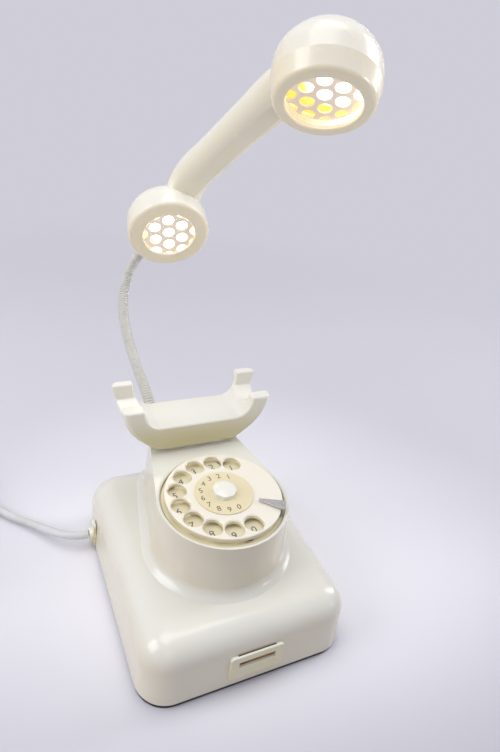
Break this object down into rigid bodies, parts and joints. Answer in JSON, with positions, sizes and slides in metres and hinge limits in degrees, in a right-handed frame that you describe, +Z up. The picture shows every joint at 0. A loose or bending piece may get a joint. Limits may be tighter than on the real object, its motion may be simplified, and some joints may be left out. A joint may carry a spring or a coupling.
{
  "type": "rotary desk telephone converted into a lamp",
  "caption": "Ivory rotary desk telephone made into a lamp: dial, cradle and a handset on a ribbed gooseneck with lit grilles.",
  "frame": {"origin": "centre of the base plate's underside, the plane it stands on", "axes": "+X to the telephone's right, +Y to its back, +Z up"},
  "size_m": [0.331, 0.2711, 0.3703],
  "materials": {
    "ivory_shell": "gloss moulded, softly worn",
    "ivory_collar": "gloss moulded",
    "ivory_dial": "gloss moulded",
    "cream_disc": "satin printed",
    "white_cap": "gloss",
    "number_print": "printed plate",
    "card": "paper in shadow",
    "black_plate": "matte",
    "foot_rubber": "matte",
    "steel": "turned",
    "polished": "polished",
    "brass": "turned",
    "hose": "satin paint",
    "grille": "satin",
    "lamp": "frosted, lit",
    "holder": "ceramic white",
    "bakelite": "matte",
    "driver": "satin",
    "white_cord": "satin",
    "tie": "matte"
  },
  "bodies": {
    "base": {"housing": "ivory_shell", "base_plate": "black_plate", "rubber_feet": "foot_rubber", "base_screws": "steel", "card_frame": "ivory_shell", "number_card": "card", "dial_pan": "steel", "number_plate": "number_print", "finger_stop": "polished", "dial_screws": "steel", "governor_bridge": "brass", "hook_bracket": "steel", "contact_stack": "bakelite", "lever_pin": "steel", "cradle_spring": "steel", "hose_gland": "polished", "gland_nut": "steel", "cord_bush": "ivory_collar", "cord_clamp": "bakelite", "terminal_block": "bakelite", "lamp_driver": "driver", "mains_cord": "white_cord", "cord_coil": "white_cord", "cord_tie": "tie", "plug_body": "white_cord", "plug_pins": "polished"},
    "dial": {"finger_wheel": "ivory_dial", "centre_disc": "cream_disc", "centre_cap": "white_cap", "dial_shaft": "steel", "main_gear": "brass", "spring_barrel": "brass"},
    "governor": {"governor_pinion": "steel", "governor_drum": "brass"},
    "cradle": {"cradle_fork": "ivory_collar", "cradle_plunger": "steel", "cradle_screws": "steel"},
    "hook_lever": {"hook_lever": "steel"},
    "gooseneck": {"gooseneck_hose": "hose", "lamp_lead": "white_cord"},
    "handset": {"handset_shell": "ivory_shell", "earpiece_cap": "ivory_shell", "mouthpiece_cap": "ivory_shell", "earpiece_grille": "grille", "mouthpiece_grille": "grille", "earpiece_lamp": "lamp", "mouthpiece_lamp": "lamp", "earpiece_holder": "holder", "mouthpiece_holder": "holder", "hose_ferrule": "polished", "ferrule_nut": "steel"}
  },
  "joints": [
    {"name": "dial_turn", "type": "hinge", "parent": "base", "child": "dial", "pos_m": [0, -0.0123, 0.0933], "axis": [0, 0.0349, -0.9994], "range_deg": [0, 308], "stiffness_Nm_per_rad": 0.008, "springref_deg": -34.38},
    {"name": "governor_spin", "type": "hinge", "parent": "base", "child": "governor", "pos_m": [0.02413, -0.0116, 0.07331], "axis": [0, 0.0349, -0.9994], "range_deg": [-924, 0]},
    {"name": "cradle_press", "type": "slide", "parent": "base", "child": "cradle", "axis": [0, 0, -1], "range_m": [0, 0.0032], "stiffness_N_per_m": 600, "springref_m": -0.004, "deforming": ["cradle_spring"]},
    {"name": "hook_swing", "type": "hinge", "parent": "base", "child": "hook_lever", "pos_m": [-0.006, 0.0562, 0.0496], "axis": [0, 1, 0], "range_deg": [0, 10.3]},
    {"name": "neck_bend", "type": "hinge", "parent": "base", "child": "gooseneck", "pos_m": [-0.0215, 0.0946, 0.1008], "axis": [1, 0, 0], "range_deg": [-25, 25], "deforming": ["gooseneck_hose", "lamp_lead"]},
    {"name": "handset_nod", "type": "hinge", "parent": "gooseneck", "child": "handset", "pos_m": [-0.0204, 0.177, 0.1702], "axis": [0.9254, 0.0545, -0.375], "range_deg": [-25, 25], "deforming": ["gooseneck_hose", "lamp_lead"]}
  ],
  "couplings": [
    {"joint": "governor_spin", "follows": "dial_turn", "ratio": -3},
    {"joint": "hook_swing", "follows": "cradle_press", "rad_per_m": 55.556}
  ]
}
